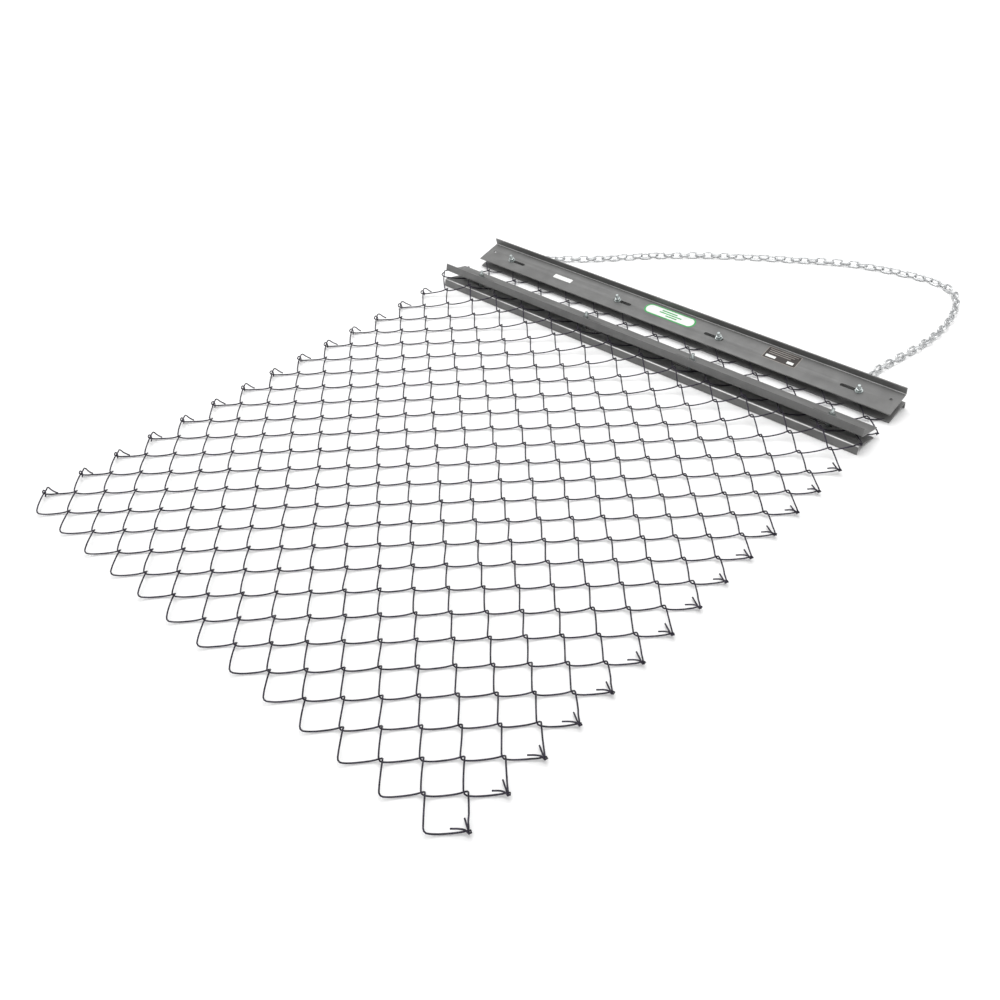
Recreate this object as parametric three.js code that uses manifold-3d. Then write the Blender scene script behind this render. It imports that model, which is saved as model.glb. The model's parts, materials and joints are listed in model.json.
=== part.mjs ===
// Towed chain-link drag mat: a woven steel mesh lies on the ground, its front edge is clamped in a
// drawbar of two folded angle bars, a second pair of bars levels the ground just behind it, and a tow
// chain joins two eyes on the drawbar. Millimetres, +X to the right, +Y the way it is towed, +Z up.
import * as THREE from 'three';
import { mergeVertices } from 'three/addons/utils/BufferGeometryUtils.js';
import Module from 'manifold-3d';

const wasm = await Module();
wasm.setup();

// ---- driving dimensions ----
const CELLS_ACROSS = 13;          // mesh openings across the mat
const WIRE_COUNT = 33;            // zigzag wires from the drawbar to the trailing edge
const CELL_WIDTH = 94;            // one opening, corner to corner across the mat
const CELL_LENGTH = 85.4;         // one opening, corner to corner along the mat
const MESH_THICKNESS = 16;        // over the crowns of the flattened spirals
const WIRE_DIAMETER = 3;
const HOOK_SLACK = 4.2;           // between two wires where their corners hook round each other
const CORNER_HALF_WIDTH = 8;      // half of the stretch in which a corner climbs between layers

const BAR_SHORTFALL = 1;          // of a bar at each side of the mat
const ROW_OVERHANG = 4.7;         // rows of corners hook this far outside the rear pair's plates
const FLANGE_HEIGHT = 20;         // over the sheet
const SHEET = 3;
const MESH_PLAY = 5;              // of the mesh between the two plates of a pair

const BOLT_DIAMETER = 8;
const BOLT_TAIL = 9;              // thread showing above the nut
const HEAD_HEIGHT = 5.3;
const NUT_HEIGHT = 6.5;
const HEX_ACROSS_FLATS = 13;
const WASHER_DIAMETER = 18;
const WASHER_THICKNESS = 1.6;
// Bolts pass through openings, counted in from the mat's side; each slot and bolt is a little off them.
const OUTER_BOLT_OPENING = 1;
const INNER_BOLT_OPENING = 5;
const OUTER_BOLT_SHIFT = 2;
const FRONT_INNER_BOLT_SHIFT = 12;
const REAR_INNER_BOLT_SHIFT = 18;
const OUTER_SLOT_SHIFT = -17;
const INNER_SLOT_SHIFT = -3;

const SLOT_LENGTH = 54;
const SLOT_PLAY = 1;              // of a bolt across its slot
const SLOT_INSET = 33;            // slot's middle to the plate's free edge
const END_HOLE_DIAMETER = 7;
const END_HOLE_FROM_END = 20;
const END_HOLE_INSET = 43;

const EYE_SHANK_DIAMETER = 6;
const EYE_WIRE_DIAMETER = 6;
const EYE_RING_RADIUS = 9;        // to the middle of the ring's wire
const EYE_STANDOFF = 8;           // flange face to the ring's nearest point
const EYE_NUT_ACROSS_FLATS = 10;
const EYE_NUT_HEIGHT = 5;

const CHAIN_WIDTH = 20;           // over one link, the diameter of the chain's envelope
const CHAIN_STEPS = 44;
// The chain's middle line from the left eye to the right one, as it lies on the ground: x from the middle
// for eyes ROUTE_EYE_X out, and y from the chain's two ends.
const ROUTE_EYE_X = 500;
const CHAIN_ROUTE = [
  [-500, 0], [-478, 27], [-447, 55], [-409, 84], [-371, 117], [-334, 155], [-297, 193], [-258, 230],
  [-219, 262], [-181, 292], [-141, 322], [-78, 364], [-10, 407], [62, 448], [128, 486], [192, 518],
  [253, 539], [303, 550], [351, 558], [396, 562], [430, 557], [459, 544], [484, 522], [503, 488],
  [517, 444], [528, 385], [532, 345], [532, 304], [530, 262], [525, 222], [518, 183], [510, 144],
  [502, 102], [497, 67], [496, 32], [500, 0],
];

// ---- clearances ----
const TOUCH_GAP = 0.3;            // between pieces that rest on each other
const BORE_CLEARANCE = 0.25;      // round a shank, on the radius
const BOLT_TO_WIRE = 1.5;         // clamp bolts to the mesh's foremost corners
const GROUND_CLEARANCE = 1.2;     // under the mesh's crowns, which its hooked corners pass a little
const CHAIN_CLEARANCE = 0.5;      // under the tow chain
const CHAIN_TO_EYE = 1.5;         // from each eye to the end of the chain

// ---- derived ----
const PITCH = CELL_LENGTH / 2;                        // from one row of hooked corners to the next
const MESH_WIDTH = CELLS_ACROSS * CELL_WIDTH;
const CORNER_REACH = (WIRE_DIAMETER + HOOK_SLACK) / 2; // how far a corner passes its row's hooking line
const LAYER = (MESH_THICKNESS - WIRE_DIAMETER) / 2;   // a leg's height over the mesh's middle plane
const LAID_HEIGHT = MESH_THICKNESS / 2 + GROUND_CLEARANCE;
const BAR_LENGTH = MESH_WIDTH - 2 * BAR_SHORTFALL;
const PLATE_WIDTH = CELL_LENGTH - 2 * ROW_OVERHANG;   // of each angle bar, flange included
const CLAMP_GAP = MESH_THICKNESS + MESH_PLAY;         // clear height between the two plates of a pair
const FLANGE_DROP = FLANGE_HEIGHT - SHEET;
const TILT = Math.atan(FLANGE_DROP / (PLATE_WIDTH - SHEET));  // a pair rests on its flange and free edge
const MID_GAP = SHEET + CLAMP_GAP / 2;
const UPPER_PLATE = SHEET + CLAMP_GAP;
const PAIR_TOP = UPPER_PLATE + SHEET;

const openingX = (number) => MESH_WIDTH / 2 - number * CELL_WIDTH;
const mirrored = (xs) => [...xs.map((x) => -x), ...xs.toReversed()];
const OUTER_BOLT_X = openingX(OUTER_BOLT_OPENING) + OUTER_BOLT_SHIFT;
const OUTER_SLOT_X = openingX(OUTER_BOLT_OPENING) + OUTER_SLOT_SHIFT;
const SLOT_XS = mirrored([OUTER_SLOT_X, openingX(INNER_BOLT_OPENING) + INNER_SLOT_SHIFT]);
const FRONT_BOLT_XS = mirrored([OUTER_BOLT_X, openingX(INNER_BOLT_OPENING) + FRONT_INNER_BOLT_SHIFT]);
const REAR_BOLT_XS = mirrored([OUTER_BOLT_X, openingX(INNER_BOLT_OPENING) + REAR_INNER_BOLT_SHIFT]);
const SLOT_WIDTH = BOLT_DIAMETER + SLOT_PLAY;
const EYE_XS = mirrored([OUTER_SLOT_X]);
const EYE_HOLE_DROP = FLANGE_DROP / 2;                // below the underside of the lower plate
const EYE_CENTRE_INSET = PLATE_WIDTH + EYE_STANDOFF + EYE_WIRE_DIAMETER / 2 + EYE_RING_RADIUS;

const material = (color, roughness, metalness) =>
  new THREE.MeshStandardMaterial({ color, roughness, metalness });
const BLACK_WIRE = material(0x2b2a2f, 0.55, 0.8);
const GREY_PAINT = material(0x4d4d4d, 0.6, 0.2);
const ZINC = material(0xb9bec2, 0.35, 0.9);

const assembly = new THREE.Group();

function addMesh(parent, name, geometry, finish) {
  const mesh = new THREE.Mesh(geometry, finish);
  mesh.name = name;
  parent.add(mesh);
  return mesh;
}

// ---- solids ----
function toSolid(geometry) {
  const bare = geometry.clone();
  bare.deleteAttribute('normal');
  bare.deleteAttribute('uv');
  const merged = mergeVertices(bare, 1e-4);
  return new wasm.Manifold(new wasm.Mesh({
    numProp: 3,
    vertProperties: new Float32Array(merged.attributes.position.array),
    triVerts: new Uint32Array(merged.index.array),
  }));
}

function toGeometry(solid) {
  const mesh = solid.getMesh();
  const geometry = new THREE.BufferGeometry();
  geometry.setAttribute('position', new THREE.BufferAttribute(mesh.vertProperties, 3));
  geometry.setIndex(new THREE.BufferAttribute(mesh.triVerts, 1));
  geometry.computeVertexNormals();
  return geometry;
}

// An upright prism of the outline, from z = low to z = high.
function upright(shape, low, high) {
  const settings = { depth: high - low, bevelEnabled: false, curveSegments: 5 };
  const geometry = new THREE.ExtrudeGeometry(shape, settings);
  return toSolid(geometry.translate(0, 0, low));
}

function polygonShape(sides, circumradius) {
  const corners = [];
  for (let i = 0; i < sides; i++) {
    const angle = (i / sides) * 2 * Math.PI;
    corners.push(new THREE.Vector2(circumradius * Math.cos(angle), circumradius * Math.sin(angle)));
  }
  return new THREE.Shape(corners);
}

const ROUND_SIDES = 10;
const roundShape = (diameter) => polygonShape(ROUND_SIDES, diameter / 2);
const boreShape = (diameter) =>
  polygonShape(ROUND_SIDES, (diameter / 2 + BORE_CLEARANCE) / Math.cos(Math.PI / ROUND_SIDES));
const hexShape = (acrossFlats) => polygonShape(6, acrossFlats / Math.sqrt(3));

function slotShape(x, y) {
  const radius = SLOT_WIDTH / 2;
  const half = SLOT_LENGTH / 2 - radius;
  const shape = new THREE.Shape();
  shape.absarc(x + half, y, radius, -Math.PI / 2, Math.PI / 2);
  shape.absarc(x - half, y, radius, Math.PI / 2, 1.5 * Math.PI);
  shape.closePath();
  return shape;
}

// ---- woven mesh ----
// A square bar of the wire's own section area follows the points, mitred at each one.
const WIRE_HALF_SIDE = Math.sqrt(Math.PI) * WIRE_DIAMETER / 4;

function mitredBar(points) {
  const directions = points.slice(1).map((point, i) => point.clone().sub(points[i]).normalize());
  const side = new THREE.Vector3(0, 0, 1).cross(directions[0]).normalize();
  const up = directions[0].clone().cross(side);
  let ring = [[1, 1], [-1, 1], [-1, -1], [1, -1]].map(([a, b]) => points[0].clone()
    .addScaledVector(side, a * WIRE_HALF_SIDE).addScaledVector(up, b * WIRE_HALF_SIDE));
  const vertices = [...ring];
  for (let i = 0; i < directions.length; i++) {
    const next = directions[i + 1] ?? directions[i];
    const cut = directions[i].clone().add(next).normalize();
    ring = ring.map((corner) => {
      const run = points[i + 1].clone().sub(corner).dot(cut) / directions[i].dot(cut);
      return corner.clone().addScaledVector(directions[i], run);
    });
    vertices.push(...ring);
  }
  const faces = [0, 2, 1, 0, 3, 2];
  for (let i = 0; i < directions.length; i++) {
    for (let j = 0; j < 4; j++) {
      const a = 4 * i + j;
      const b = 4 * i + (j + 1) % 4;
      faces.push(a, b, a + 4, b, b + 4, a + 4);
    }
  }
  const last = 4 * directions.length;
  faces.push(last, last + 1, last + 2, last, last + 2, last + 3);
  const geometry = new THREE.BufferGeometry();
  const coordinates = vertices.flatMap((v) => v.toArray());
  geometry.setAttribute('position', new THREE.Float32BufferAttribute(coordinates, 3));
  geometry.setIndex(faces);
  geometry.computeVertexNormals();
  return geometry;
}

// One zigzag wire: its front row of hooks is at y = 0 and its rear row at y = -PITCH. Legs that run back
// lie in the upper layer and legs that run forward in the lower one, so corners climb in front and drop
// behind. endsInFront says which row its two cut ends are on.
function wirePoints(endsInFront) {
  const points = [];
  const climb = (x) => {
    points.push(new THREE.Vector3(x - CORNER_HALF_WIDTH, CORNER_REACH, -LAYER));
    points.push(new THREE.Vector3(x + CORNER_HALF_WIDTH, CORNER_REACH, LAYER));
  };
  const drop = (x) => {
    points.push(new THREE.Vector3(x - CORNER_HALF_WIDTH, -PITCH - CORNER_REACH, LAYER));
    points.push(new THREE.Vector3(x + CORNER_HALF_WIDTH, -PITCH - CORNER_REACH, -LAYER));
  };
  for (let cell = 0; cell <= CELLS_ACROSS; cell++) {
    const x = cell * CELL_WIDTH - MESH_WIDTH / 2;
    if (endsInFront) climb(x);
    else drop(x);
    if (cell === CELLS_ACROSS) break;
    if (endsInFront) drop(x + CELL_WIDTH / 2);
    else climb(x + CELL_WIDTH / 2);
  }
  return points;
}

// ---- angle bars ----
// A pair lies with its free edges at y = 0 and its flanges at y = PLATE_WIDTH. The lower bar's flange
// turns down from the plate, the upper bar's turns up.
function angleBar(flangeUp) {
  const base = flangeUp ? UPPER_PLATE : 0;
  const outline = new THREE.Shape();
  outline.moveTo(0, base);
  if (flangeUp) {
    outline.lineTo(PLATE_WIDTH, base);
    outline.lineTo(PLATE_WIDTH, base + FLANGE_HEIGHT);
    outline.lineTo(PLATE_WIDTH - SHEET, base + FLANGE_HEIGHT);
    outline.lineTo(PLATE_WIDTH - SHEET, base + SHEET);
  } else {
    outline.lineTo(PLATE_WIDTH - SHEET, base);
    outline.lineTo(PLATE_WIDTH - SHEET, base - FLANGE_DROP);
    outline.lineTo(PLATE_WIDTH, base - FLANGE_DROP);
    outline.lineTo(PLATE_WIDTH, base + SHEET);
  }
  outline.lineTo(0, base + SHEET);
  outline.closePath();
  const profile = new THREE.ExtrudeGeometry(outline, { depth: BAR_LENGTH, bevelEnabled: false });
  // the outline's x becomes y, its y becomes z and its depth becomes x
  const turn = new THREE.Matrix4().makeBasis(
    new THREE.Vector3(0, 1, 0), new THREE.Vector3(0, 0, 1), new THREE.Vector3(1, 0, 0));
  let bar = toSolid(profile.applyMatrix4(turn).translate(-BAR_LENGTH / 2, 0, 0));
  for (const x of SLOT_XS) {
    bar = bar.subtract(upright(slotShape(x, SLOT_INSET), base - SHEET, base + 2 * SHEET));
  }
  for (const end of [-1, 1]) {
    const hole = upright(roundShape(END_HOLE_DIAMETER), base - SHEET, base + 2 * SHEET);
    bar = bar.subtract(hole.translate([end * (BAR_LENGTH / 2 - END_HOLE_FROM_END), END_HOLE_INSET, 0]));
  }
  return bar;
}

// Turns a solid that stands on z = 0 so that it points along +Y, out of the front flange.
const pointForward = (solid) => solid.rotate([-90, 0, 0]);

function drillEyeHoles(bar) {
  let drilled = bar;
  for (const x of EYE_XS) {
    const drill = pointForward(upright(boreShape(EYE_SHANK_DIAMETER), -2 * SHEET, SHEET));
    drilled = drilled.subtract(drill.translate([x, PLATE_WIDTH, -EYE_HOLE_DROP]));
  }
  return drilled;
}

// ---- fasteners ----
function clampBolt() {
  const under = -TOUCH_GAP;
  const tip = PAIR_TOP + TOUCH_GAP + WASHER_THICKNESS + NUT_HEIGHT + BOLT_TAIL;
  const head = upright(hexShape(HEX_ACROSS_FLATS), under - HEAD_HEIGHT, under);
  return head.add(upright(roundShape(BOLT_DIAMETER), under - HEAD_HEIGHT / 2, tip));
}

function washerAndNut() {
  const seat = PAIR_TOP + TOUCH_GAP;
  const washer = upright(polygonShape(16, WASHER_DIAMETER / 2), seat, seat + WASHER_THICKNESS);
  const top = seat + WASHER_THICKNESS + NUT_HEIGHT;
  const nut = upright(hexShape(HEX_ACROSS_FLATS), seat + WASHER_THICKNESS / 2, top);
  const bore = upright(boreShape(BOLT_DIAMETER), seat - SHEET, top + SHEET);
  return washer.add(nut).subtract(bore);
}

function towEye() {
  const torus = new THREE.TorusGeometry(EYE_RING_RADIUS, EYE_WIRE_DIAMETER / 2, 6, 12);
  const ring = toSolid(torus.rotateY(Math.PI / 2));
  const back = PLATE_WIDTH - SHEET - EYE_NUT_HEIGHT - BORE_CLEARANCE - EYE_SHANK_DIAMETER / 3;
  const front = EYE_CENTRE_INSET - EYE_RING_RADIUS;
  const shank = pointForward(upright(roundShape(EYE_SHANK_DIAMETER), back, front));
  return ring.translate([0, EYE_CENTRE_INSET, 0]).add(shank).translate([0, 0, -EYE_HOLE_DROP]);
}

function eyeNut() {
  const face = PLATE_WIDTH - SHEET - TOUCH_GAP;
  const nut = upright(hexShape(EYE_NUT_ACROSS_FLATS), face - EYE_NUT_HEIGHT, face);
  const bore = upright(boreShape(EYE_SHANK_DIAMETER), face - 2 * EYE_NUT_HEIGHT, face + SHEET);
  return pointForward(nut.subtract(bore)).translate([0, 0, -EYE_HOLE_DROP]);
}

// ---- bar pairs ----
function barPair(label, boltXs) {
  const pair = new THREE.Group();
  const plain = angleBar(false);
  const lower = label === 'front' ? drillEyeHoles(plain) : plain;
  addMesh(pair, `${label}_upper_bar`, toGeometry(angleBar(true)), GREY_PAINT);
  addMesh(pair, `${label}_lower_bar`, toGeometry(lower), GREY_PAINT);
  boltXs.forEach((x, i) => {
    for (const [kind, solid] of [['bolt', clampBolt()], ['nut', washerAndNut()]]) {
      const piece = addMesh(pair, `${label}_${kind}_${i + 1}`, toGeometry(solid), ZINC);
      piece.position.set(x, SLOT_INSET, 0);
    }
  });
  assembly.add(pair);
  return pair;
}

const frontPair = barPair('front', FRONT_BOLT_XS);
frontPair.rotation.x = TILT;
EYE_XS.forEach((x, i) => {
  const side = i === 0 ? 'left' : 'right';
  addMesh(frontPair, `tow_eye_${side}`, toGeometry(towEye()), ZINC).position.x = x;
  addMesh(frontPair, `tow_eye_nut_${side}`, toGeometry(eyeNut()), ZINC).position.x = x;
});

const rearPair = barPair('rear', REAR_BOLT_XS);
rearPair.rotation.set(-TILT, 0, Math.PI);

// ---- where each wire lies ----
// The mesh is followed from its foremost row of corners, inside the drawbar, to the trailing edge. A row
// is a line across the mat at (y, z), and a wire's rise is how much higher its rear row is than its front
// one.
const inPlane = (along, across) => ({
  y: along * Math.cos(TILT) - across * Math.sin(TILT),
  z: along * Math.sin(TILT) + across * Math.cos(TILT),
});
const foremostInset = SLOT_INSET - BOLT_DIAMETER / 2 - BOLT_TO_WIRE - CORNER_REACH - WIRE_DIAMETER / 2;
const FIRST_DRAPED = 5;
const DRAPED_WIRES = 3;
const rearClampFrontRow = inPlane(-ROW_OVERHANG, MID_GAP).z;
const rearClampBackRow = inPlane(2 * PITCH - ROW_OVERHANG, MID_GAP).z;

function riseOfWire(number, z) {
  if (number === 1) return LAID_HEIGHT - z;
  if (number === 2) return rearClampFrontRow - z;
  if (number < FIRST_DRAPED) return PITCH * Math.sin(TILT);
  const step = number - FIRST_DRAPED;
  if (step >= DRAPED_WIRES) return 0;
  const share = (DRAPED_WIRES - step) / (DRAPED_WIRES * (DRAPED_WIRES + 1) / 2);
  return share * (LAID_HEIGHT - rearClampBackRow);
}

const row = inPlane(foremostInset, MID_GAP);
for (let number = 1; number <= WIRE_COUNT; number++) {
  const name = `mesh_wire_${String(number).padStart(2, '0')}`;
  const wire = addMesh(assembly, name, mitredBar(wirePoints(number % 2 === 1)), BLACK_WIRE);
  const slope = Math.asin(riseOfWire(number, row.z) / PITCH);
  wire.position.set(0, row.y, row.z);
  wire.rotation.x = -slope;
  row.y -= PITCH * Math.cos(slope);
  row.z += PITCH * Math.sin(slope);
  if (number === 2) {
    const edge = inPlane(-ROW_OVERHANG, MID_GAP);
    rearPair.position.set(0, row.y + edge.y, row.z - edge.z);
  }
}

// ---- the mat without its chain is centred on its base ----
assembly.updateMatrixWorld(true);
const matBox = new THREE.Box3().setFromObject(assembly, true);
assembly.position.set(0, -(matBox.min.y + matBox.max.y) / 2, 0);

// ---- tow chain ----
function chainEnvelope() {
  const eye = inPlane(EYE_CENTRE_INSET, -EYE_HOLE_DROP);
  const start = eye.y + EYE_RING_RADIUS + EYE_WIRE_DIAMETER / 2 + CHAIN_TO_EYE;
  const spread = OUTER_SLOT_X / ROUTE_EYE_X;
  const ends = [0, CHAIN_ROUTE.length - 1];
  const route = CHAIN_ROUTE.map(([x, y], i) =>
    new THREE.Vector3(x * spread, start + y, ends.includes(i) ? eye.z : CHAIN_WIDTH / 2 + CHAIN_CLEARANCE));
  return new THREE.ExtrudeGeometry(polygonShape(8, CHAIN_WIDTH / 2), {
    steps: CHAIN_STEPS, bevelEnabled: false, extrudePath: new THREE.CatmullRomCurve3(route),
  });
}
addMesh(assembly, 'tow_chain', chainEnvelope(), ZINC);

export default assembly;
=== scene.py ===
"""The looks of a packed chain-link drag mat. Metres, +X right, +Y the way it is towed, +Z up."""
import json
import math
import random

import bmesh
import bpy
import numpy as np
from mathutils import Matrix, Quaternion, Vector


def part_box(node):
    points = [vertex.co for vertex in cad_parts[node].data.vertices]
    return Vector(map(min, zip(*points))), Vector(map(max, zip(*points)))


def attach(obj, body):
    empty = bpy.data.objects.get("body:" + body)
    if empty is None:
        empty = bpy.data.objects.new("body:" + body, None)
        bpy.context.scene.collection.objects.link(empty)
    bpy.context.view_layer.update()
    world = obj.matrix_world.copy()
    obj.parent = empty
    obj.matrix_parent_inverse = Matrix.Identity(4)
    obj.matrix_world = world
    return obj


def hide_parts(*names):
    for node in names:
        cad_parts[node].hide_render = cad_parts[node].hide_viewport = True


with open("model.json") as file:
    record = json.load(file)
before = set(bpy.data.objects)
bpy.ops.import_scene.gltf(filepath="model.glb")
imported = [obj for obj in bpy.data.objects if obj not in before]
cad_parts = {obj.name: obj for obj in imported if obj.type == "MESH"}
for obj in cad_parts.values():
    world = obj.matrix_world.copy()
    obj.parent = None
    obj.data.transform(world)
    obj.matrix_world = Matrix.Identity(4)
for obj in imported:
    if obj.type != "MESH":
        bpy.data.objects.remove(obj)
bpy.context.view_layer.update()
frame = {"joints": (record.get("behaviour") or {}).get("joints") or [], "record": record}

MM = 0.001
rng = random.Random(11)

# ---- camera ----
CAMERA_AT = Vector((1.2456, -1.2687, 1.3226))
CAMERA_AIM = Vector((0.1298, -0.1013, -0.001))
CAMERA_ROLL = math.radians(-2.504)
CAMERA_LENS = 36.82
CAMERA_SENSOR = 36
CAMERA_RANGE = (0.01, 50)


def make_camera():
    data = bpy.data.cameras.new("camera")
    data.lens = CAMERA_LENS
    data.sensor_width = CAMERA_SENSOR
    data.clip_start, data.clip_end = CAMERA_RANGE
    camera = bpy.data.objects.new("camera", data)
    bpy.context.scene.collection.objects.link(camera)
    camera.location = CAMERA_AT
    camera.rotation_mode = "QUATERNION"
    look = (CAMERA_AIM - CAMERA_AT).to_track_quat("-Z", "Y")
    camera.rotation_quaternion = look @ Quaternion((0, 0, 1), CAMERA_ROLL)
    bpy.context.scene.camera = camera


make_camera()

# ---- sizes shared with the CAD model ----
CELLS_ACROSS = 13
CELL_WIDTH = 94 * MM
WIRE_COUNT = 33
WIRE_RADIUS = 1.5 * MM
LAYER = 6.5 * MM
SHEET = 3 * MM
PLATE_WIDTH = 76 * MM
FLANGE_HEIGHT = 20 * MM
CLAMP_GAP = 21 * MM
SLOT_INSET = 33 * MM
SLOT_LENGTH = 54 * MM
SLOT_WIDTH = 9 * MM
SLOT_XS = [x * MM for x in (-500, -138, 138, 500)]
END_HOLE_RADIUS = 3.5 * MM
END_HOLE_FROM_END = 20 * MM
END_HOLE_INSET = 43 * MM
TOUCH_GAP = 0.3 * MM
BORE_CLEARANCE = 0.25 * MM     # round a shank, on the radius
UPPER_PLATE = SHEET + CLAMP_GAP
PAIR_TOP = UPPER_PLATE + SHEET
FLANGE_DROP = FLANGE_HEIGHT - SHEET
TILT = math.atan(FLANGE_DROP / (PLATE_WIDTH - SHEET))
MESH_WIDTH = CELLS_ACROSS * CELL_WIDTH


def pair_matrix(label):
    """From a bar pair's own frame (x, from the free edge along the plate, up off it) to the shared one."""
    low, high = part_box(f"{label}_lower_bar")
    c, s = math.cos(TILT), math.sin(TILT)
    if label == "front":
        turn = Matrix(((1, 0, 0), (0, c, -s), (0, s, c)))
        edge = low.y + SHEET * s
    else:
        turn = Matrix(((-1, 0, 0), (0, -c, s), (0, s, c)))
        edge = high.y - SHEET * s
    return Matrix.Translation((0, edge, 0)) @ turn.to_4x4()


FRONT = pair_matrix("front")
REAR = pair_matrix("rear")


# ---- materials ----
def node_material(name, metallic, roughness):
    material = bpy.data.materials.new(name)
    material.use_nodes = True
    shader = material.node_tree.nodes["Principled BSDF"]
    shader.inputs["Metallic"].default_value = metallic
    shader.inputs["Roughness"].default_value = roughness
    return material, material.node_tree.nodes, material.node_tree.links, shader


def noise(nodes, links, scale, detail):
    where = nodes.new("ShaderNodeTexCoord")
    texture = nodes.new("ShaderNodeTexNoise")
    texture.inputs["Scale"].default_value = scale
    texture.inputs["Detail"].default_value = detail
    links.new(where.outputs["Object"], texture.inputs["Vector"])
    return texture.outputs["Fac"]


def ramp(nodes, links, value, stops):
    """The value blended between two stops, each a place and a colour."""
    found = nodes.new("ShaderNodeValToRGB")
    for element, (place, colour) in zip(found.color_ramp.elements, stops):
        element.position = place
        element.color = (*colour, 1)
    links.new(value, found.inputs["Fac"])
    return found.outputs["Color"]


def grey(value):
    return (value, value, value)


def add_bump(nodes, links, shader, height, strength, distance):
    bump = nodes.new("ShaderNodeBump")
    bump.inputs["Strength"].default_value = strength
    bump.inputs["Distance"].default_value = distance
    links.new(height, bump.inputs["Height"])
    links.new(bump.outputs["Normal"], shader.inputs["Normal"])


GLOSS_SCALE = 2.7        # of the drift in gloss, against the drift in colour
GRAIN_SCALE = 9          # of the grain, against the drift in colour
GRAIN_DEPTH = 0.4 * MM


def mottled(name, dark, light, scale, metallic, roughness, spread, bump):
    """A finish whose colour and gloss drift between two tones, over a fine grain."""
    material, nodes, links, shader = node_material(name, metallic, roughness)
    blotches = noise(nodes, links, scale, 6)
    links.new(ramp(nodes, links, blotches, [(0.32, dark), (0.68, light)]), shader.inputs["Base Color"])
    gloss = [(0.3, grey(roughness - spread)), (0.7, grey(roughness + spread))]
    patches = noise(nodes, links, scale * GLOSS_SCALE, 4)
    links.new(ramp(nodes, links, patches, gloss), shader.inputs["Roughness"])
    add_bump(nodes, links, shader, noise(nodes, links, scale * GRAIN_SCALE, 3), bump, GRAIN_DEPTH)
    return material


WIRE_STEEL = mottled("wire_steel", (0.020, 0.018, 0.025), (0.052, 0.045, 0.066), 60, 0.7, 0.42, 0.1, 0.25)
POWDER_COAT = mottled("powder_coat", (0.134, 0.134, 0.132), (0.170, 0.170, 0.167), 25, 0.0, 0.46, 0.06, 0.2)
# A painted highlight: a light colour for the bars' bends, standing for the overhead light that they reflect.
PAINTED_BEND_HIGHLIGHT = mottled("painted_bend_highlight", (0.62, 0.62, 0.61), (0.78, 0.78, 0.77), 25, 0.1, 0.3, 0.06, 0.05)
ZINC = mottled("zinc_plate", (0.40, 0.44, 0.44), (0.63, 0.67, 0.66), 140, 0.95, 0.32, 0.1, 0.15)
CHAIN_ZINC = mottled("chain_zinc", (0.55, 0.56, 0.57), (0.82, 0.83, 0.83), 120, 0.85, 0.34, 0.1, 0.2)
LABEL_WHITE = mottled("label_white", (0.76, 0.77, 0.75), (0.84, 0.85, 0.83), 60, 0, 0.5, 0.05, 0.03)
LABEL_GREEN = mottled("label_green", (0.03, 0.32, 0.07), (0.05, 0.42, 0.11), 60, 0, 0.5, 0.05, 0.03)
LABEL_DARK = mottled("label_dark", (0.030, 0.024, 0.022), (0.044, 0.037, 0.034), 60, 0, 0.6, 0.05, 0.03)
LABEL_GREY = mottled("label_grey", (0.24, 0.22, 0.20), (0.32, 0.30, 0.28), 60, 0, 0.6, 0.05, 0.03)


# ---- mesh making ----
def new_object(name, vertices, faces, material, smooth=True):
    mesh = bpy.data.meshes.new(name)
    mesh.from_pydata([tuple(v) for v in vertices], [], [tuple(f) for f in faces])
    mesh.update()
    made = bpy.data.objects.new(name, mesh)
    bpy.context.scene.collection.objects.link(made)
    mesh.materials.append(material)
    if smooth:
        mesh.shade_smooth()
    return made


def settle(piece, body, slot, *nodes):
    """The piece rides on the body and stands for the CAD nodes; slot is not used."""
    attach(piece, body)
    if nodes:
        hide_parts(*nodes)
    return piece


def unit(vectors):
    return vectors / np.linalg.norm(vectors, axis=-1, keepdims=True)


def tube(path, radius, sides, closed=False):
    """Vertices and faces of a round bar along the path, its rings turned as little as they can be."""
    path = np.asarray(path, float)
    count = len(path)
    after, before = np.roll(path, -1, 0), np.roll(path, 1, 0)
    if not closed:
        after[-1], before[0] = path[-1], path[0]
    along = unit(after - before)
    start = np.cross(along[0], (0, 0, 1.0))
    if np.linalg.norm(start) < 0.1:
        start = np.cross(along[0], (0, 1.0, 0))
    side = unit(start)
    angles = np.arange(sides) * 2 * math.pi / sides
    rings = []
    for i in range(count):
        side = unit(side - along[i] * (side @ along[i]))
        other = np.cross(along[i], side)
        rings.append(path[i] + radius * (np.outer(np.cos(angles), side) + np.outer(np.sin(angles), other)))
    vertices = np.concatenate(rings)
    faces = []
    for i in range(count if closed else count - 1):
        for j in range(sides):
            k = (j + 1) % sides
            low, high = i * sides, (i + 1) % count * sides
            faces.append((low + j, high + j, high + k, low + k))
    if not closed:
        faces.append(tuple(range(sides)))
        last = (count - 1) * sides
        faces.append(tuple(last + j for j in reversed(range(sides))))
    return vertices, faces


def join(*solids):
    """The vertices and faces of several solids as one."""
    vertices, faces = [], []
    for made, joined in solids:
        faces += [tuple(v + len(vertices) for v in face) for face in joined]
        vertices.extend(made)
    return vertices, faces


def curve_through(points, steps):
    """A Catmull-Rom curve through the points, with so many steps between two of them."""
    p = np.asarray(points, float)
    p = np.vstack([2 * p[0] - p[1], p, 2 * p[-1] - p[-2]])
    found = []
    for i in range(1, len(p) - 2):
        for t in np.arange(steps) / steps:
            found.append(0.5 * (2 * p[i] + (p[i + 1] - p[i - 1]) * t
                                + (2 * p[i - 1] - 5 * p[i] + 4 * p[i + 1] - p[i + 2]) * t ** 2
                                + (3 * p[i] - p[i - 1] - 3 * p[i + 1] + p[i + 2]) * t ** 3))
    found.append(p[-2])
    return np.array(found)


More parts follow.
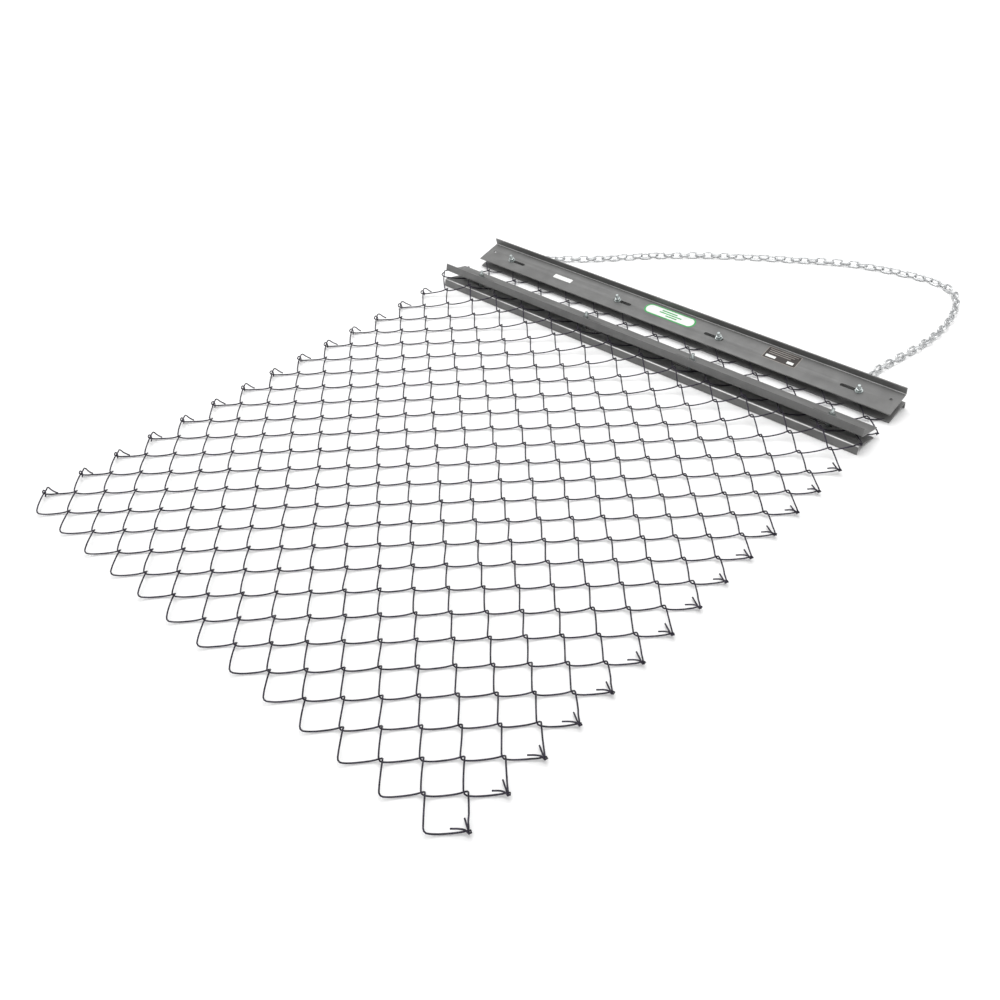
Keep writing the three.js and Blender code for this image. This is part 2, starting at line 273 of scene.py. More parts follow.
def lengths_along(path):
    """How far along the path each of its points is."""
    return np.r_[0, np.cumsum(np.linalg.norm(np.diff(path, axis=0), axis=1))]


def even_steps(path, step):
    """The same path with points about a step apart."""
    lengths = lengths_along(path)
    places = np.linspace(0, lengths[-1], max(2, round(lengths[-1] / step) + 1))
    return np.column_stack([np.interp(places, lengths, path[:, k]) for k in range(3)])


# ---- tow chain, a free cord that lies on the ground from eye to eye ----
CHAIN_WIRE_RADIUS = 2.5 * MM
LINK_WIDTH = 20 * MM
LINK_PITCH = 22 * MM
EYE_INSET = 110 * MM
EYE_RING_RADIUS = 9 * MM
EYE_WIRE_RADIUS = 3 * MM
EYE_STANDOFF = 8 * MM
EYE_CENTRE = Vector((0, PLATE_WIDTH + EYE_STANDOFF + EYE_RING_RADIUS + EYE_WIRE_RADIUS, -FLANGE_DROP / 2))
EYE_X = MESH_WIDTH / 2 - MM - EYE_INSET
CHAIN_ROUTE = [
    (-499, 109), (-478, 136), (-447, 164), (-409, 193), (-371, 226), (-334, 264), (-297, 302), (-258, 339),
    (-219, 371), (-181, 401), (-141, 431), (-78, 473), (-10, 516), (62, 557), (128, 595), (192, 627),
    (253, 648), (303, 659), (351, 667), (396, 671), (430, 666), (459, 653), (484, 631), (503, 597),
    (517, 553), (528, 494), (532, 454), (532, 413), (530, 371), (525, 331), (518, 292), (510, 253),
    (502, 211), (497, 176), (496, 141), (499, 109),
]
HUNG_LINKS = 4           # links at each end that climb to their eye
GROUND_GAP = 0.2 * MM
LYING_DROP = 1.9 * MM    # how much lower a lying link's middle is than an upright one's
EYE_LEAD = 2.5 * MM      # from an eye's centre to the end of the chain's middle line
ROUTE_STEPS = 12
ROUTE_STEP = 2 * MM
LINK_ARC_STEPS = 8
LINK_SIDES = 8
LYING_ROLL = math.radians(38)
ROLL_DRIFT = math.radians(14)
DRIFT_RATE = 0.37        # how fast the roll drifts, in radians a link
DRIFT_CHANCE = 0.6       # the random part of the drift, against the steady one


def chain_path():
    """The chain's middle line, from inside one eye to inside the other."""
    eyes = [FRONT @ (EYE_CENTRE + Vector((x, EYE_LEAD, 0))) for x in (-EYE_X, EYE_X)]
    edge = FRONT.translation.y
    lying = LINK_WIDTH / 2 - LYING_DROP
    route = [(x * MM, edge + y * MM, lying) for x, y in CHAIN_ROUTE[1:-1]]
    return even_steps(curve_through([eyes[0], *route, eyes[1]], ROUTE_STEPS), ROUTE_STEP)


def link_outline(arc_steps):
    """One link's middle line in its own plane, its length along x."""
    bend = LINK_WIDTH / 2 - CHAIN_WIRE_RADIUS
    half = LINK_PITCH / 2 + CHAIN_WIRE_RADIUS - bend
    points = []
    for centre, first in ((half, -90), (-half, 90)):
        for i in range(arc_steps + 1):
            angle = math.radians(first + 180 * i / arc_steps)
            points.append((centre + bend * math.cos(angle), bend * math.sin(angle), 0))
    return np.array(points)


def point_at(share, lengths, path):
    """The point of the path at a share of its length."""
    return np.array([np.interp(share * lengths[-1], lengths, path[:, axis]) for axis in range(3)])


def link_solid(i, count, back, front, outline):
    """Link i between two points of the chain's middle line, across its neighbours and clear of the ground."""
    along = unit(front - back)
    level = unit(np.cross((0, 0, 1.0), along))
    climb = min(1.0, min(i, count - 1 - i) / HUNG_LINKS)
    drift = ROLL_DRIFT * (math.sin(DRIFT_RATE * i) + DRIFT_CHANCE * (rng.random() - 0.5))
    roll = climb * (LYING_ROLL + drift) + (i % 2) * math.pi / 2
    across = math.cos(roll) * level + math.sin(roll) * np.cross(along, level)
    points = (back + front) / 2 + outline[:, :1] * along + outline[:, 1:2] * across
    lift = CHAIN_WIRE_RADIUS + GROUND_GAP - points[:, 2].min()
    points[:, 2] += lift if climb == 1.0 else max(0, lift)
    return tube(points, CHAIN_WIRE_RADIUS, LINK_SIDES, closed=True)


def make_chain():
    path = chain_path()
    lengths = lengths_along(path)
    count = 2 * round((lengths[-1] / LINK_PITCH - 1) / 2) + 1
    outline = link_outline(LINK_ARC_STEPS)
    knots = [point_at(i / count, lengths, path) for i in range(count + 1)]
    links = [link_solid(i, count, knots[i], knots[i + 1], outline) for i in range(count)]
    chain = new_object("tow_chain_links", *join(*links), CHAIN_ZINC)
    settle(chain, "drawbar", "tow_chain", "tow_chain")


make_chain()

# ---- woven mesh ----
CORNER_RADIUS = 5 * MM       # plan radius of a bend, to the wire's middle
CORNER_REACH = 2.4 * MM      # how far a bend's crown passes its row's hooking line
ARC_STEPS = 6
LEG_STEPS = 9
CROWN_POWER = 3              # how flat the spiral is between two corners
WIRE_SIDES = 10
HALF_CELL = CELL_WIDTH / 2
REACH_DRIFT = (-0.3 * MM, 0.9 * MM)
LEG_BOW = 0.9 * MM           # the most a leg bows to either side
WIRE_STEP = 4.5 * MM
CUT_END_STEPS = 5
CUT_END_REACH = 12 * MM      # the part of the mat's side that the cut ends take over
CLAMPED_EDGE_ROWS = (3, 5)
CUT_OFF_POINTS = 3           # of a cut end in those rows
TAIL_POINTS = 2
TAIL_SCALE = (0.85, 1.1)

# Each kind of cut end, from its leg to its tip: (out of the mat's side, forward, up) from the middle of the
# corner, in millimetres. All four tails point back into the mat. On the right a leg off the upper layer turns
# down and ends below the middle plane. The others end above it, or on it at the left for a leg off the lower
# layer. Neighbouring cut ends run into each other.
CUT_ENDS = {
    ("right", "upper"): [(-8, 7.3, 5.6), (-1.2, 0.9, 5.4), (2.8, -3, 4.4), (4.4, -4.8, 0.6),
                         (2.8, -3.4, -3.2), (-1, -0.2, -4.6), (-10, 5.2, -4.6), (-22, 12.6, -4)],
    ("right", "lower"): [(-8, -7.3, -6), (-2.2, -2, -3.4), (1.5, 0.5, -0.4), (5.6, -0.2, 0.4),
                         (6.6, -4.2, 0.8), (3, -6.4, 1.4), (-0.4, -4.6, 2.6), (-9, -9.6, 4),
                         (-19, -17.2, 3)],
    ("left", "upper"): [(-8, -7.3, 5.6), (-2, -1.4, 3.8), (2.5, 4, 3.8), (2, 7.5, 7.6), (-5, 8, 9.2),
                        (-12, 8, 8), (-19, 10, 5.5), (-25, 13, 3)],
    ("left", "lower"): [(-8, 7.3, -6), (-1.4, 1.4, -5.5), (2.4, -3.2, -3.4), (3.9, -5.4, 0.4),
                        (2.2, -3.6, 5.2), (-1, -2.6, 7.4), (-6, -2.5, 7), (-10.5, -5, 3.5), (-14, -9, 0)],
}


def row_places():
    """Each row's hooking line as (y, z). Hinges give most; wires 3 and 4 lie straight in the clamp."""
    hinges = {joint["child"]: joint["pos_m"] for joint in frame["joints"]}
    rows = {3: np.array(hinges["rear_clamp"][1:])}
    for number in [2, *range(5, WIRE_COUNT + 1)]:
        rows[number] = np.array(hinges[f"mesh_row_{number:02d}"][1:])
    rows[4] = (rows[3] + rows[5]) / 2
    rows[WIRE_COUNT + 1] = 2 * rows[WIRE_COUNT] - rows[WIRE_COUNT - 1]
    pitch = rows[WIRE_COUNT - 1][0] - rows[WIRE_COUNT][0]
    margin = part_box(f"mesh_wire_{WIRE_COUNT}")[1].y - rows[WIRE_COUNT][0]
    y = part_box("mesh_wire_01")[1].y - margin
    rows[1] = np.array([y, rows[2][1] + math.sqrt(max(0, pitch ** 2 - (y - rows[2][0]) ** 2))])
    return rows


ROWS = row_places()
PITCH = float(np.linalg.norm(ROWS[WIRE_COUNT] - ROWS[WIRE_COUNT + 1]))
NODE_DRIFT = 1.4 * MM
node_shift = {(row, k): rng.uniform(-NODE_DRIFT, NODE_DRIFT)
              for row in range(1, WIRE_COUNT + 2) for k in range(2 * CELLS_ACROSS + 1)}


def corner_of(number, k):
    """Where corner k of a wire is: (x, distance along the wire's plane from its front row, in front)."""
    in_front = (k % 2 == 0) == (number % 2 == 1)
    row = number if in_front else number + 1
    x = -MESH_WIDTH / 2 + k * HALF_CELL
    if 0 < k < 2 * CELLS_ACROSS:
        x += node_shift[row, k]
    return x, 0.0 if in_front else -PITCH, in_front


def bend_points(before, corner, after, reach):
    """A rounded corner between two legs, in plan."""
    x, along, in_front = corner
    sign = 1 if in_front else -1
    middle = np.array([x, along + sign * reach])
    spread = [np.array([p[0] - x, p[1] - along - sign * 2 * reach]) for p in (before, after)]
    steep = [math.atan2(abs(s[1]), abs(s[0])) for s in spread]
    centre = middle - np.array([0, sign * CORNER_RADIUS])
    first, last = math.pi / 2 + steep[0], math.pi / 2 - steep[1]
    angles = np.linspace(first, last, ARC_STEPS + 1)
    return centre + CORNER_RADIUS * np.column_stack([np.cos(angles), sign * np.sin(angles)])


def plan_of_wire(number):
    corners = [corner_of(number, k) for k in range(2 * CELLS_ACROSS + 1)]
    plan = [np.array([corners[0][:2]])]
    for k in range(1, len(corners) - 1):
        reach = CORNER_REACH + rng.uniform(*REACH_DRIFT)
        plan.append(bend_points(corners[k - 1], corners[k], corners[k + 1], reach))
    plan.append(np.array([corners[-1][:2]]))
    points = [plan[0]]
    for a, b in zip(plan, plan[1:]):
        t = (np.arange(1, LEG_STEPS) / LEG_STEPS)[:, None]
        leg = a[-1] + (b[0] - a[-1]) * t
        across = np.array([b[0][1] - a[-1][1], a[-1][0] - b[0][0]])
        bow = rng.uniform(-LEG_BOW, LEG_BOW)
        points += [leg + bow * 4 * t * (1 - t) * across / np.linalg.norm(across), b]
    return corners, np.concatenate(points)


def crown_heights(corners, plan, number):
    """Each leg is highest or lowest at its middle and passes through the middle plane at its corners."""
    xs = np.array([c[0] for c in corners])
    leg = np.clip(np.searchsorted(xs, plan[:, 0], side="right") - 1, 0, len(xs) - 2)
    share = np.clip((plan[:, 0] - xs[leg]) / (xs[leg + 1] - xs[leg]), 0, 1)
    runs_back = (leg % 2 == 0) == (number % 2 == 1)
    return np.where(runs_back, 1, -1) * LAYER * (1 - np.abs(2 * share - 1) ** CROWN_POWER)


def cut_end(corner, side, upper, row):
    """Points of a cut end, from its leg to its tip. The rear clamp's two edge rows have no tail."""
    shape = np.array(CUT_ENDS[side, "upper" if upper else "lower"]) * MM
    if row in CLAMPED_EDGE_ROWS:
        shape = shape[:-CUT_OFF_POINTS]
    shape[-TAIL_POINTS:, :2] *= rng.uniform(*TAIL_SCALE)
    outward = 1 if side == "right" else -1
    return np.column_stack([corner[0] + outward * shape[:, 0], corner[1] + shape[:, 1], shape[:, 2]])


def wire_path(number):
    corners, plan = plan_of_wire(number)
    points = np.column_stack([plan, crown_heights(corners, plan, number)])
    odd = number % 2 == 1
    body = points[np.abs(points[:, 0]) < MESH_WIDTH / 2 - CUT_END_REACH]
    if number > 1:
        row = number if odd else number + 1
        left = cut_end(corners[0], "left", odd, row)
        right = cut_end(corners[-1], "right", not odd, row)
        left, right = curve_through(left, CUT_END_STEPS)[::-1], curve_through(right, CUT_END_STEPS)
        body = np.concatenate([left, body, right])
    body = even_steps(body, WIRE_STEP)
    front, rear = ROWS[number], ROWS[number + 1]
    forward = (front - rear) / np.linalg.norm(front - rear)
    upward = np.array([-forward[1], forward[0]])
    flat = front + body[:, 1:2] * forward + body[:, 2:3] * upward
    return np.column_stack([body[:, 0], flat])


def make_wires():
    owners = {node: body for body, nodes in frame["record"]["behaviour"]["bodies"].items() for node in nodes}
    for number in range(1, WIRE_COUNT + 1):
        node = f"mesh_wire_{number:02d}"
        vertices, faces = tube(wire_path(number), WIRE_RADIUS, WIRE_SIDES)
        wire = new_object(f"woven_wire_{number:02d}", vertices, faces, WIRE_STEEL)
        settle(wire, owners[node], "mesh_wire", node)


make_wires()


# ---- angle bars ----
BEND_RADIUS = 5.5 * MM         # outside of a folded edge
BEND_STEPS = 6
BAR_LENGTH = MESH_WIDTH - 2 * MM
BAR_EDGE = 0.45 * MM
BEND_MARGIN = 0.1 * MM
HIGHLIGHT_LEAN = (0.55, 0.83)      # the normal along the plate of a face that gets the painted highlight
HIGHLIGHT_UP = 0.5                 # the least of its normal up
EYE_BORE_RADIUS = EYE_WIRE_RADIUS + BORE_CLEARANCE
BEVEL_ANGLE = math.radians(40)
SHARP_ANGLE = math.radians(35)


def bar_outline(flange_up):
    """The folded sheet's section: (from the free edge along the plate, up)."""
    base = UPPER_PLATE if flange_up else 0
    turn = 1 if flange_up else -1
    outer_face = base if flange_up else base + SHEET
    inner_face = base + SHEET if flange_up else base
    tip = base + FLANGE_HEIGHT if flange_up else base - FLANGE_DROP
    points = [(0, outer_face)]
    points += bend_arc(outer_face, turn, BEND_RADIUS, BEND_RADIUS)
    points += [(PLATE_WIDTH, tip), (PLATE_WIDTH - SHEET, tip)]
    points += bend_arc(outer_face, turn, BEND_RADIUS, BEND_RADIUS - SHEET)[::-1]
    points.append((0, inner_face))
    return points


def bend_arc(outer_face, turn, inset, radius):
    centre = (PLATE_WIDTH - inset, outer_face + turn * inset)
    return [(centre[0] + radius * math.sin(a), centre[1] - turn * radius * math.cos(a))
            for a in np.linspace(0, math.pi / 2, BEND_STEPS + 1)]


def prism(outline, low, high):
    """A solid from a plan outline between two heights along the third axis."""
    count = len(outline)
    vertices = [(x, y, z) for z in (low, high) for x, y in outline]
    faces = [tuple(reversed(range(count))), tuple(range(count, 2 * count))]
    for i in range(count):
        j = (i + 1) % count
        faces.append((i, j, j + count, i + count))
    return vertices, faces


def slot_outline(x, y, length, width, steps=10):
    radius = width / 2
    points = []
    for centre, first in ((x + length / 2 - radius, -90), (x - length / 2 + radius, 90)):
        for i in range(steps + 1):
            angle = math.radians(first + 180 * i / steps)
            points.append((centre + radius * math.cos(angle), y + radius * math.sin(angle)))
    return points


def apply_modifiers(piece):
    graph = bpy.context.evaluated_depsgraph_get()
    mesh = bpy.data.meshes.new_from_object(piece.evaluated_get(graph))
    piece.modifiers.clear()
    piece.data = mesh


def combine(piece, other, operation):
    """Adds the other object to the piece or takes it out of it. The other one is used up."""
    boolean = piece.modifiers.new("combine", "BOOLEAN")
    boolean.operation = operation
    boolean.solver = "EXACT"
    boolean.object = other
    apply_modifiers(piece)
    bpy.data.objects.remove(other)


def soften_edges(piece, width, segments=2):
    bevel = piece.modifiers.new("edges", "BEVEL")
    bevel.width = width
    bevel.segments = segments
    bevel.limit_method = "ANGLE"
    bevel.angle_limit = BEVEL_ANGLE
    apply_modifiers(piece)
    piece.data.shade_smooth()
    piece.data.set_sharp_from_angle(angle=SHARP_ANGLE)


def paint_bend_highlight(bar, flange_up):
    """Paints a highlight on the bend that faces up: a lighter material along one narrow line stands for the
    light that the bend reflects.
    """
    side = -1 if flange_up else 1
    bar.data.materials.append(PAINTED_BEND_HIGHLIGHT)
    for face in bar.data.polygons:
        in_bend = face.center.y > PLATE_WIDTH - BEND_RADIUS - BEND_MARGIN
        leans = HIGHLIGHT_LEAN[0] < side * face.normal.y < HIGHLIGHT_LEAN[1]
        if in_bend and leans and face.normal.z > HIGHLIGHT_UP:
            face.material_index = 1


def make_bar(label, flange_up):
    section = bar_outline(flange_up)
    if not flange_up:
        section = section[::-1]
    half = BAR_LENGTH / 2
    vertices, faces = prism(section, -half, half)
    vertices = [(z, y, w) for y, w, z in vertices]
    level = "upper" if flange_up else "lower"
    bar = new_object(f"{label}_{level}_angle_bar", vertices, faces, POWDER_COAT, smooth=False)
    base = UPPER_PLATE if flange_up else 0
    reach = (base - SHEET, base + 2 * SHEET)
    prisms = [prism(slot_outline(x, SLOT_INSET, SLOT_LENGTH, SLOT_WIDTH), *reach) for x in SLOT_XS]
    for end in (-1, 1):
        x = end * (half - END_HOLE_FROM_END)
        hole = slot_outline(x, END_HOLE_INSET, 2 * END_HOLE_RADIUS, 2 * END_HOLE_RADIUS)
        prisms.append(prism(hole, *reach))
    if label == "front" and not flange_up:
        prisms += [eye_drill(x) for x in (-EYE_X, EYE_X)]
    cutter = new_object("cutter", *join(*prisms), POWDER_COAT, smooth=False)
    combine(bar, cutter, "DIFFERENCE")
    soften_edges(bar, BAR_EDGE)
    # a painted highlight along the bend
    paint_bend_highlight(bar, flange_up)
    bar.data.transform(FRONT if label == "front" else REAR)
    body = "drawbar" if label == "front" else "rear_clamp"
    settle(bar, body, "angle_bar", f"{label}_{level}_bar")


def eye_drill(x):
    round_hole = slot_outline(x, EYE_CENTRE.z, 2 * EYE_BORE_RADIUS, 2 * EYE_BORE_RADIUS)
    vertices, faces = prism(round_hole, PLATE_WIDTH - 2 * SHEET, PLATE_WIDTH + SHEET)
    return [(a, c, b) for a, b, c in vertices], [face[::-1] for face in faces]


for pair in ("front", "rear"):
    for flange in (True, False):
        make_bar(pair, flange)


# ---- fasteners ----
BOLT_RADIUS = 4 * MM
BOLT_TAIL = 9 * MM
HEAD_HEIGHT = 5.3 * MM
NUT_HEIGHT = 6.5 * MM
HEX_APOTHEM = 6.5 * MM
WASHER_RADIUS = 9 * MM
WASHER_THICKNESS = 1.6 * MM
THREAD_PITCH = 1.25 * MM
THREAD_DEPTH = 0.62 * MM
HEX_SEGMENTS = 48
THREAD_SEGMENTS = 24
STEPS_A_THREAD = 8
ROD_TIP = 0.8 * MM
ROD_TIP_SLOPE = 0.8
HEAD_CHAMFER = 0.94            # where a chamfer starts, as a share of the apothem
NUT_CHAMFER = 0.96
CHAMFER_SLOPE = 0.55
WASHER_EDGE = 0.25 * MM
NUT_GAP = 0.05 * MM            # between a nut and its washer
PART_SHARP_ANGLE = math.radians(32)


def hex_radius(apothem, angle):
    return apothem / math.cos((angle + math.pi / 6) % (math.pi / 3) - math.pi / 6)


def turned(profile_at, segments, closed=True):
    """A solid turned round its own axis; profile_at(angle) gives the (radius, height) points there."""
    vertices, faces = [], []
    for i in range(segments):
        angle = 2 * math.pi * i / segments
        for radius, height in profile_at(angle):
            vertices.append((radius * math.cos(angle), radius * math.sin(angle), height))
    count = len(vertices) // segments
    for i in range(segments):
        a, b = i * count, (i + 1) % segments * count
        for j in range(count if closed else count - 1):
            k = (j + 1) % count
            faces.append((a + j, b + j, b + k, a + k))
    return vertices, faces


def weld(piece):
    made = bmesh.new()
    made.from_mesh(piece.data)
    bmesh.ops.remove_doubles(made, verts=made.verts, dist=1e-6)
    bmesh.ops.dissolve_degenerate(made, edges=made.edges, dist=1e-7)
    bmesh.ops.recalc_face_normals(made, faces=made.faces)
    made.to_mesh(piece.data)
    made.free()


def hex_ring(apothem, bore, low, high):
    chamfer = apothem * NUT_CHAMFER

    def profile(angle):
        outer = hex_radius(apothem, angle)
        drop = (outer - chamfer) * CHAMFER_SLOPE
        return [(bore, low), (chamfer, low), (outer, low + drop), (outer, high - drop), (chamfer, high),
                (bore, high)]
    return turned(profile, HEX_SEGMENTS)


def washer_ring(radius, bore, low, high):
    def profile(angle):
        return [(bore, low), (radius - WASHER_EDGE, low), (radius, low + WASHER_EDGE),
                (radius, high - WASHER_EDGE), (radius - WASHER_EDGE, high), (bore, high)]
    return turned(profile, HEX_SEGMENTS)


def threaded_rod(radius, low, thread_from, high):
    """A rod whose thread is a true helix from thread_from up to its chamfered tip."""
    step = THREAD_PITCH / STEPS_A_THREAD

    def profile(angle):
        points = [(0, low), (radius, low), (radius, thread_from)]
        for i in range(1, int((high - thread_from) / step)):
            z = thread_from + i * step
            wave = abs((z / THREAD_PITCH - angle / (2 * math.pi)) % 1 - 0.5) * 2
            cut = THREAD_DEPTH * wave * min(1, (z - thread_from) / THREAD_PITCH)
            taper = max(0, z - (high - ROD_TIP)) * ROD_TIP_SLOPE
            points.append((radius - max(cut, taper), z))
        return points + [(radius - ROD_TIP * ROD_TIP_SLOPE, high), (0, high)]
    return turned(profile, THREAD_SEGMENTS, closed=False)


def place_part(name, solid, material, matrix):
    piece = new_object(name, *solid, material)
    weld(piece)
    piece.data.shade_smooth()
    piece.data.set_sharp_from_angle(angle=PART_SHARP_ANGLE)
    piece.data.transform(matrix)
    return piece


def bolt_solid():
    """The head with its plain shank and the threaded rod, each closed, end to end."""
    under = -TOUCH_GAP
    tip = PAIR_TOP + TOUCH_GAP + WASHER_THICKNESS + NUT_HEIGHT + BOLT_TAIL
    chamfer = HEX_APOTHEM * HEAD_CHAMFER

    def profile(angle):
        outer = hex_radius(HEX_APOTHEM, angle)
        drop = (outer - chamfer) * CHAMFER_SLOPE
        return [(0, under - HEAD_HEIGHT), (chamfer, under - HEAD_HEIGHT), (outer, under - HEAD_HEIGHT + drop),
                (outer, under), (BOLT_RADIUS, under), (BOLT_RADIUS, UPPER_PLATE)]
    vertices, faces = turned(profile, HEX_SEGMENTS, closed=False)
    count = len(vertices) // HEX_SEGMENTS
    cap = tuple(i * count + count - 1 for i in range(HEX_SEGMENTS))
    return join((vertices, faces + [cap]), threaded_rod(BOLT_RADIUS, UPPER_PLATE, UPPER_PLATE, tip))


def any_turn():
    return Matrix.Rotation(rng.uniform(0, math.pi / 3), 4, "Z")


def make_fastener(label, number, matrix, body):
    """A bolt through both plates of a pair, with its washer and nut."""
    low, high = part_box(f"{label}_bolt_{number}")
    here = matrix @ Matrix.Translation(((low.x + high.x) / 2 * matrix[0][0], SLOT_INSET, 0))
    bore = BOLT_RADIUS + BORE_CLEARANCE
    seat = PAIR_TOP + TOUCH_GAP
    washer_top = seat + WASHER_THICKNESS
    bolt = place_part(f"{label}_hex_bolt_{number}", bolt_solid(), ZINC, here @ any_turn())
    settle(bolt, body, "fastener", f"{label}_bolt_{number}")
    washer = washer_ring(WASHER_RADIUS, bore, seat, washer_top)
    washer = place_part(f"{label}_washer_{number}", washer, ZINC, here)
    settle(washer, body, "fastener")
    nut = hex_ring(HEX_APOTHEM, bore, washer_top + NUT_GAP, washer_top + NUT_HEIGHT)
    nut = place_part(f"{label}_hex_nut_{number}", nut, ZINC, here @ any_turn())
    settle(nut, body, "fastener", f"{label}_nut_{number}")


def make_fasteners():
    for label, matrix, body in (("front", FRONT, "drawbar"), ("rear", REAR, "rear_clamp")):
        for number in range(1, len(SLOT_XS) + 1):
            make_fastener(label, number, matrix, body)


make_fasteners()


# ---- tow eyes ----
EYE_NUT_APOTHEM = 5 * MM
EYE_NUT_HEIGHT = 5 * MM
EYE_TAIL = 2.25 * MM           # of the shank behind its nut, with the nut's gap
EYE_PLAIN = 0.5 * MM           # of the shank's end without a thread
RING_STEPS = 40
RING_SIDES = 16
RING_SHARP_ANGLE = math.radians(40)


def eye_ring(centre):
    angles = np.linspace(0, 2 * math.pi, RING_STEPS, endpoint=False)
    path = [(centre.x, centre.y + EYE_RING_RADIUS * math.cos(a), centre.z + EYE_RING_RADIUS * math.sin(a))
            for a in angles]
    return tube(path, EYE_WIRE_RADIUS, RING_SIDES, closed=True)


def make_eye(side, x):
    """A ring on a threaded shank through the lower bar's flange, with its nut behind."""
    centre = EYE_CENTRE + Vector((x, 0, 0))
    ring = new_object(f"tow_eye_bolt_{side}", *eye_ring(centre), ZINC)
    forward = Matrix.Translation((x, 0, centre.z)) @ Matrix.Rotation(-math.pi / 2, 4, "X")
    back = PLATE_WIDTH - SHEET - EYE_NUT_HEIGHT - EYE_TAIL
    shank = threaded_rod(EYE_WIRE_RADIUS, back, back + EYE_PLAIN, centre.y - EYE_RING_RADIUS)
    shank = place_part("shank", shank, ZINC, forward)
    weld(ring)
    combine(ring, shank, "UNION")
    ring.data.shade_smooth()
    ring.data.set_sharp_from_angle(angle=RING_SHARP_ANGLE)
    ring.data.transform(FRONT)
    settle(ring, "drawbar", "fastener", f"tow_eye_{side}")
    face = PLATE_WIDTH - SHEET - TOUCH_GAP
    nut = hex_ring(EYE_NUT_APOTHEM, EYE_BORE_RADIUS, face - EYE_NUT_HEIGHT, face)
    nut = place_part(f"tow_eye_hex_nut_{side}", nut, ZINC, FRONT @ forward)
    settle(nut, "drawbar", "fastener", f"tow_eye_nut_{side}")


def make_eyes():
    for side, x in (("left", -EYE_X), ("right", EYE_X)):
        make_eye(side, x)


make_eyes()


# ---- labels on the drawbar, all generic ----
LABEL_THICKNESS = 0.25 * MM
LABEL_LIFT = 0.04 * MM
LABEL_EDGE = 0.08 * MM

# Places and sizes below are in millimetres on the upper plate, y from its free edge.
LABEL_Y = 47
LOW_LABEL_Y = 37
SMALL_PLATE_X = -339
BADGE_X = 0
DARK_X = 317
STRIPE_LENGTHS = (46, 66, 34)
STRIPE_WIDTH = 3.4
STRIPE_PITCH = 7
LINE_COUNT = 3
LINE_WIDTH = 2
LINE_PITCH = 6
FIRST_LINE_Y = 60


def rounded_plate(x, y, length, width, radius, steps=6):
    points = []
    for sx, sy, first in ((1, -1, -90), (1, 1, 0), (-1, 1, 90), (-1, -1, 180)):
        cx, cy = x + sx * (length / 2 - radius), y + sy * (width / 2 - radius)
        for i in range(steps + 1):
            angle = math.radians(first + 90 * i / steps)
            points.append((cx + radius * math.cos(angle), cy + radius * math.sin(angle)))
    return points


def make_label(name, material, x, y, length, width, radius, layer=0):
    low = PAIR_TOP + LABEL_LIFT + layer * (LABEL_THICKNESS + LABEL_LIFT)
    outline = rounded_plate(x * MM, y * MM, length * MM, width * MM, radius * MM)
    label = new_object(name, *prism(outline, low, low + LABEL_THICKNESS), material, smooth=False)
    soften_edges(label, LABEL_EDGE, 1)
    label.data.transform(FRONT)
    settle(label, "drawbar", "angle_bar")


def make_labels():
    make_label("small_plate_label", LABEL_WHITE, SMALL_PLATE_X, LOW_LABEL_Y, 60, 14, 2)
    make_label("badge_border", LABEL_GREEN, BADGE_X, LABEL_Y, 150, 35, 17)
    make_label("badge_face", LABEL_WHITE, BADGE_X, LABEL_Y, 141, 28, 13.5, layer=1)
    for i, length in enumerate(STRIPE_LENGTHS):
        x, y = BADGE_X - 4 + 6 * i, LABEL_Y + STRIPE_PITCH * (1 - i)
        make_label(f"badge_stripe_{i + 1}", LABEL_GREEN, x, y, length, STRIPE_WIDTH, 1.6, layer=2)
    make_label("dark_label_border", LABEL_GREY, DARK_X, LABEL_Y, 88, 40, 2)
    make_label("dark_label", LABEL_DARK, DARK_X, LABEL_Y, 84, 36, 1.5, layer=1)
    for i in range(LINE_COUNT):
        x, y, length = DARK_X - 3 * i, FIRST_LINE_Y - LINE_PITCH * i, 74 - 8 * i
        make_label(f"dark_label_line_{i + 1}", LABEL_GREY, x, y, length, LINE_WIDTH, 0.9, layer=2)
    make_label("dark_label_panel_1", LABEL_WHITE, DARK_X - 24, LOW_LABEL_Y, 26, 8, 1, layer=2)
    make_label("dark_label_panel_2", LABEL_WHITE, DARK_X + 27, LOW_LABEL_Y, 17, 8, 1, layer=2)


make_labels()


# ---- floor and light ----
FLOOR_REACH = 12.0
FLOOR_DROP = 0.4 * MM


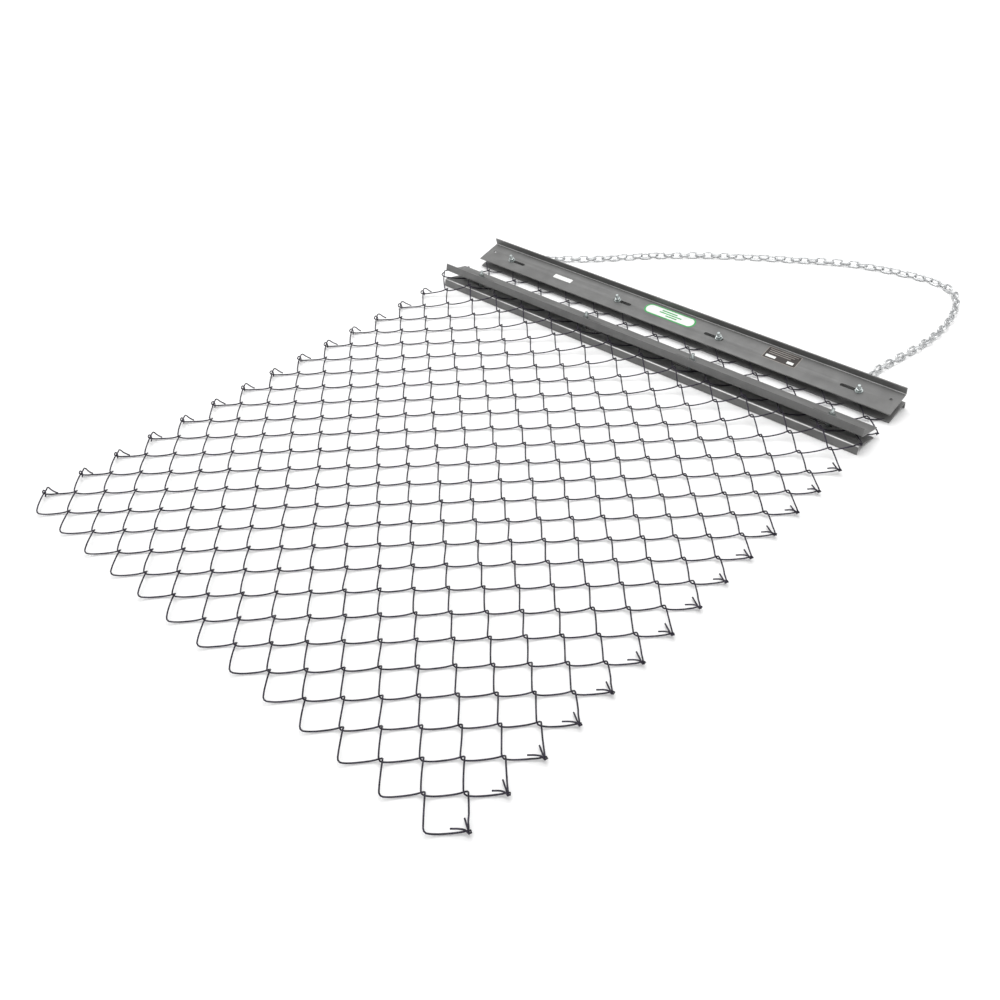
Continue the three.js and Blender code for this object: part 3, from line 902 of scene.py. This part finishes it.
def make_floor():
    corners = [(x * FLOOR_REACH, y * FLOOR_REACH, 0) for x, y in ((-1, -1), (1, -1), (1, 1), (-1, 1))]
    material, nodes, links, shader = node_material("pale_floor", 0, 0.9)
    tone = ramp(nodes, links, noise(nodes, links, 3, 3), [(0.4, grey(0.90)), (0.6, grey(0.93))])
    links.new(tone, shader.inputs["Base Color"])
    shader.inputs["Specular IOR Level"].default_value = 0.1
    floor = new_object("floor", corners, [(0, 1, 2, 3)], material, smooth=False)
    floor.location.z = -FLOOR_DROP


def strip_light(name, place, aim, size, power):
    data = bpy.data.lights.new(name, "AREA")
    data.shape = "RECTANGLE"
    data.size, data.size_y = size
    data.energy = power
    light = bpy.data.objects.new(name, data)
    bpy.context.scene.collection.objects.link(light)
    light.location = place
    light.rotation_mode = "QUATERNION"
    light.rotation_quaternion = (Vector(aim) - Vector(place)).to_track_quat("-Z", "Y")


HORIZON_GLOW = 0.3
ZENITH_GLOW = 2.1
GLOW_FALLOFF = 3               # how soon the sky dims away from overhead
STRIP_AT = (-1.5, 0.9, 3.3)
STRIP_AIM = (-1.5, 0.7, 0)
STRIP_SIZE = (2.8, 0.5)
STRIP_POWER = 30


def make_light():
    """A soft studio sky, dim at the horizon and bright overhead, with one long soft lamp high on the left."""
    world = bpy.data.worlds.new("studio")
    world.use_nodes = True
    nodes, links = world.node_tree.nodes, world.node_tree.links
    where = nodes.new("ShaderNodeTexCoord")
    split = nodes.new("ShaderNodeSeparateXYZ")
    links.new(where.outputs["Generated"], split.inputs["Vector"])
    value = split.outputs["Z"]
    steps = (("MAXIMUM", [0]), ("POWER", [GLOW_FALLOFF]), ("MULTIPLY_ADD", [ZENITH_GLOW, HORIZON_GLOW]))
    for operation, numbers in steps:
        step = nodes.new("ShaderNodeMath")
        step.operation = operation
        for i, number in enumerate(numbers):
            step.inputs[i + 1].default_value = number
        links.new(value, step.inputs[0])
        value = step.outputs["Value"]
    nodes["Background"].inputs["Color"].default_value = (1, 1, 1, 1)
    links.new(value, nodes["Background"].inputs["Strength"])
    bpy.context.scene.world = world
    strip_light("strip", STRIP_AT, STRIP_AIM, STRIP_SIZE, STRIP_POWER)
    bpy.context.scene.view_settings.view_transform = "Standard"


make_floor()
make_light()
